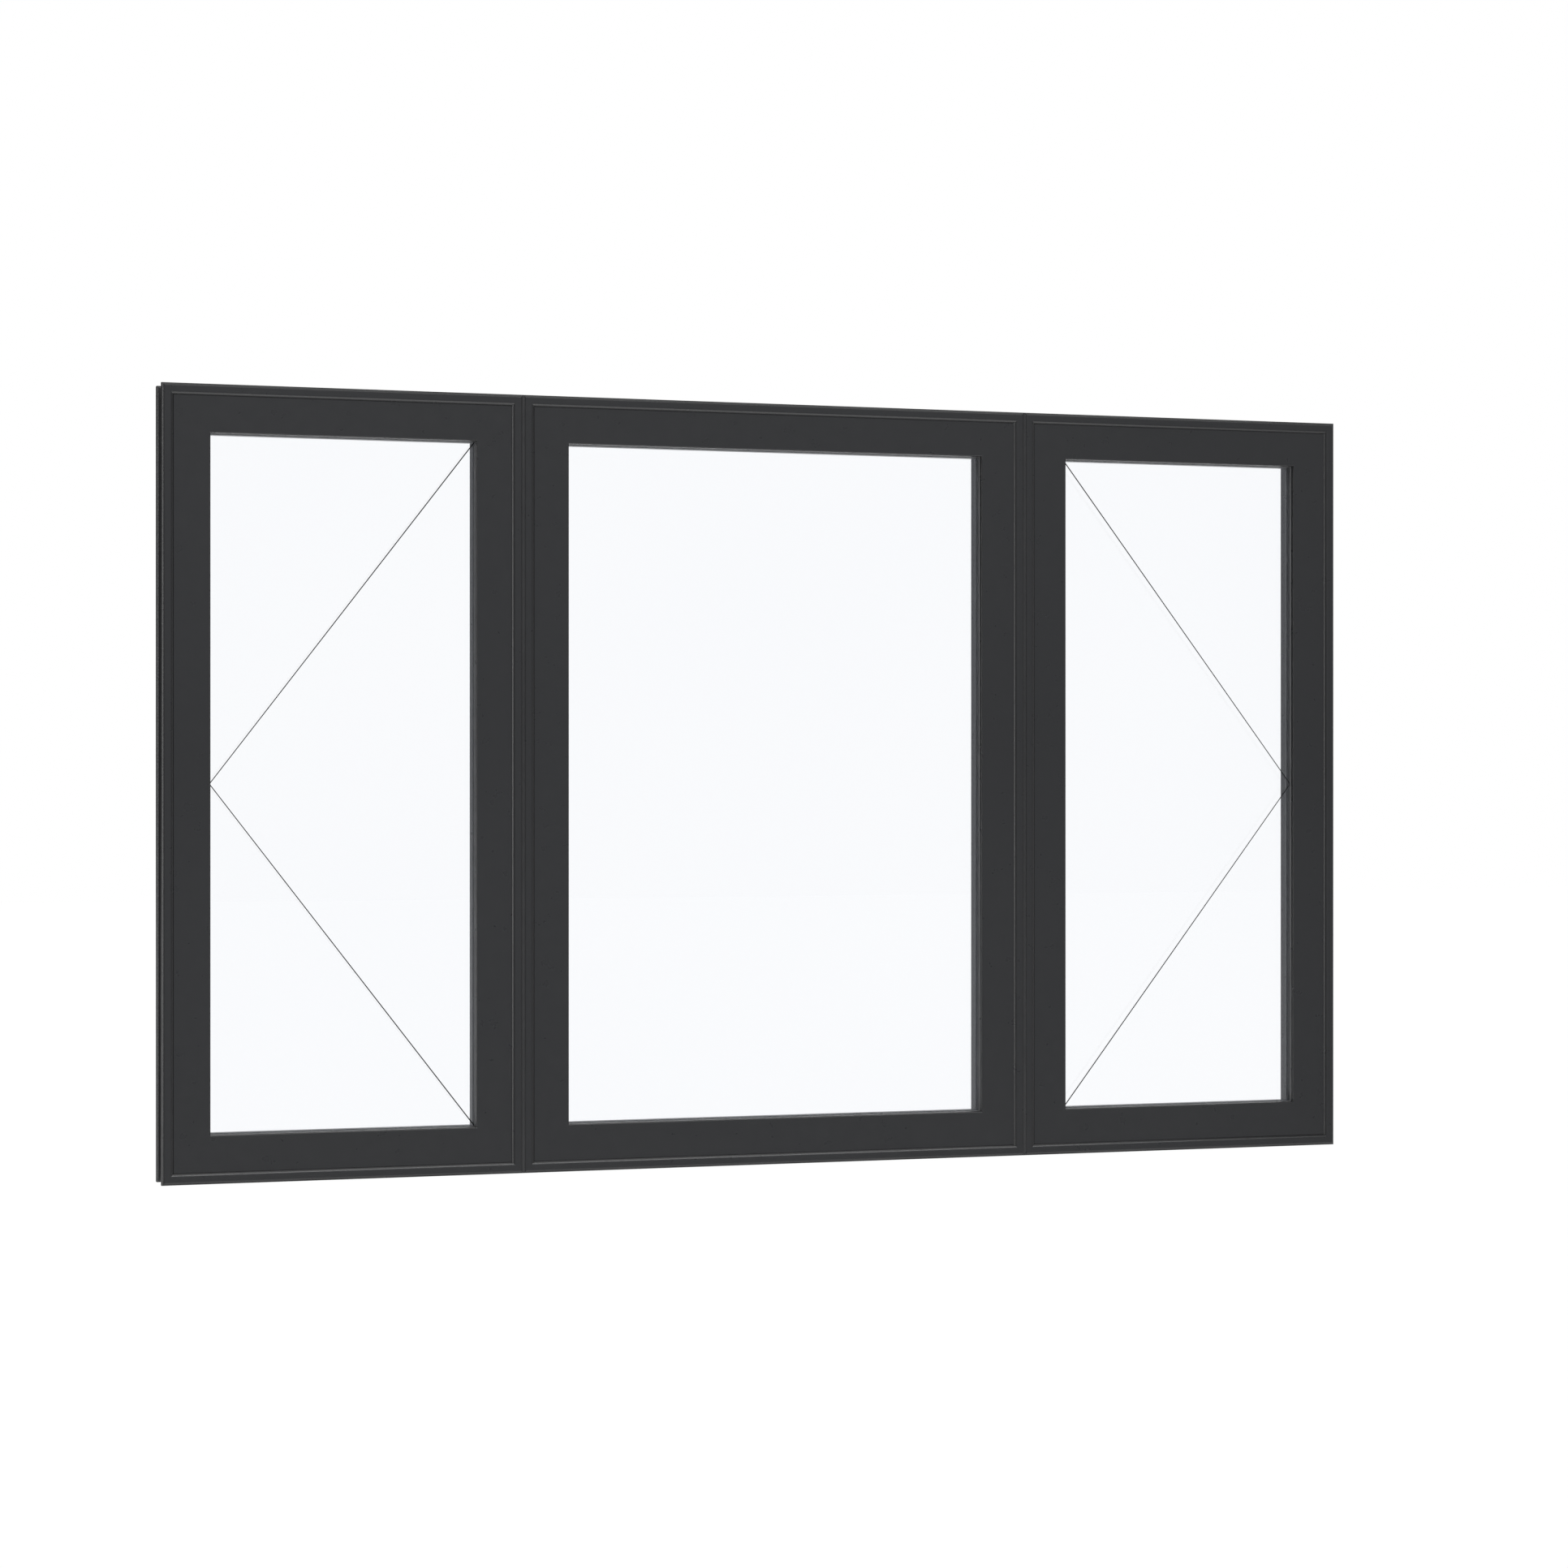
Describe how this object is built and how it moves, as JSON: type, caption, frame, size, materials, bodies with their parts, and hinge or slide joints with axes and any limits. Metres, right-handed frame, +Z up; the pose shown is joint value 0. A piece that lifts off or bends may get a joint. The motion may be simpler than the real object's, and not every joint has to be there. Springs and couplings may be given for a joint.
{
  "type": "triple casement window",
  "caption": "Wide dark grey metal window in a row of coupled frames: side-hung casements either side of a fixed light, each a mitred sash with double glazing.",
  "frame": {"origin": "middle of the window's length, on the flat underside of the sills' rear flange", "axes": "+X along the window to the right as seen from outside, +Y from outside to inside, +Z up"},
  "size_m": [2.1, 0.099, 1.3],
  "materials": {
    "frame_paint": "satin powder coat, dark grey",
    "sash_paint": "satin powder coat, dark grey",
    "bead_paint": "satin powder coat, dark grey",
    "handle_paint": "satin powder coat, dark grey",
    "clear_glass": "clear float glass",
    "spacer_grey": "dark grey warm-edge spacer",
    "gasket_rubber": "matt grey rubber",
    "seal_rubber": "matt black rubber",
    "coupling_metal": "mill finish"
  },
  "bodies": {
    "root": {"left_casement_frame_head": "frame_paint", "left_casement_frame_sill": "frame_paint", "left_casement_frame_left_jamb": "frame_paint", "left_casement_frame_right_jamb": "frame_paint", "left_casement_sash_top_rail": "sash_paint", "left_casement_sash_bottom_rail": "sash_paint", "left_casement_sash_left_stile": "sash_paint", "left_casement_sash_right_stile": "sash_paint", "left_casement_glass_panes": "clear_glass", "left_casement_spacer_bar": "spacer_grey", "left_casement_glazing_gaskets": "gasket_rubber", "left_casement_glazing_beads": "bead_paint", "left_casement_weather_seal": "seal_rubber", "centre_light_frame_head": "frame_paint", "centre_light_frame_sill": "frame_paint", "centre_light_frame_left_jamb": "frame_paint", "centre_light_frame_right_jamb": "frame_paint", "centre_light_sash_top_rail": "sash_paint", "centre_light_sash_bottom_rail": "sash_paint", "centre_light_sash_left_stile": "sash_paint", "centre_light_sash_right_stile": "sash_paint", "centre_light_glass_panes": "clear_glass", "centre_light_spacer_bar": "spacer_grey", "centre_light_glazing_gaskets": "gasket_rubber", "centre_light_glazing_beads": "bead_paint", "centre_light_weather_seal": "seal_rubber", "right_casement_frame_head": "frame_paint", "right_casement_frame_sill": "frame_paint", "right_casement_frame_left_jamb": "frame_paint", "right_casement_frame_right_jamb": "frame_paint", "right_casement_sash_top_rail": "sash_paint", "right_casement_sash_bottom_rail": "sash_paint", "right_casement_sash_left_stile": "sash_paint", "right_casement_sash_right_stile": "sash_paint", "right_casement_glass_panes": "clear_glass", "right_casement_spacer_bar": "spacer_grey", "right_casement_glazing_gaskets": "gasket_rubber", "right_casement_glazing_beads": "bead_paint", "right_casement_weather_seal": "seal_rubber", "left_casement_handle_rose": "handle_paint", "left_casement_handle_lever": "handle_paint", "right_casement_handle_rose": "handle_paint", "right_casement_handle_lever": "handle_paint", "left_coupling_bar": "coupling_metal", "right_coupling_bar": "coupling_metal"}
  },
  "joints": []
}
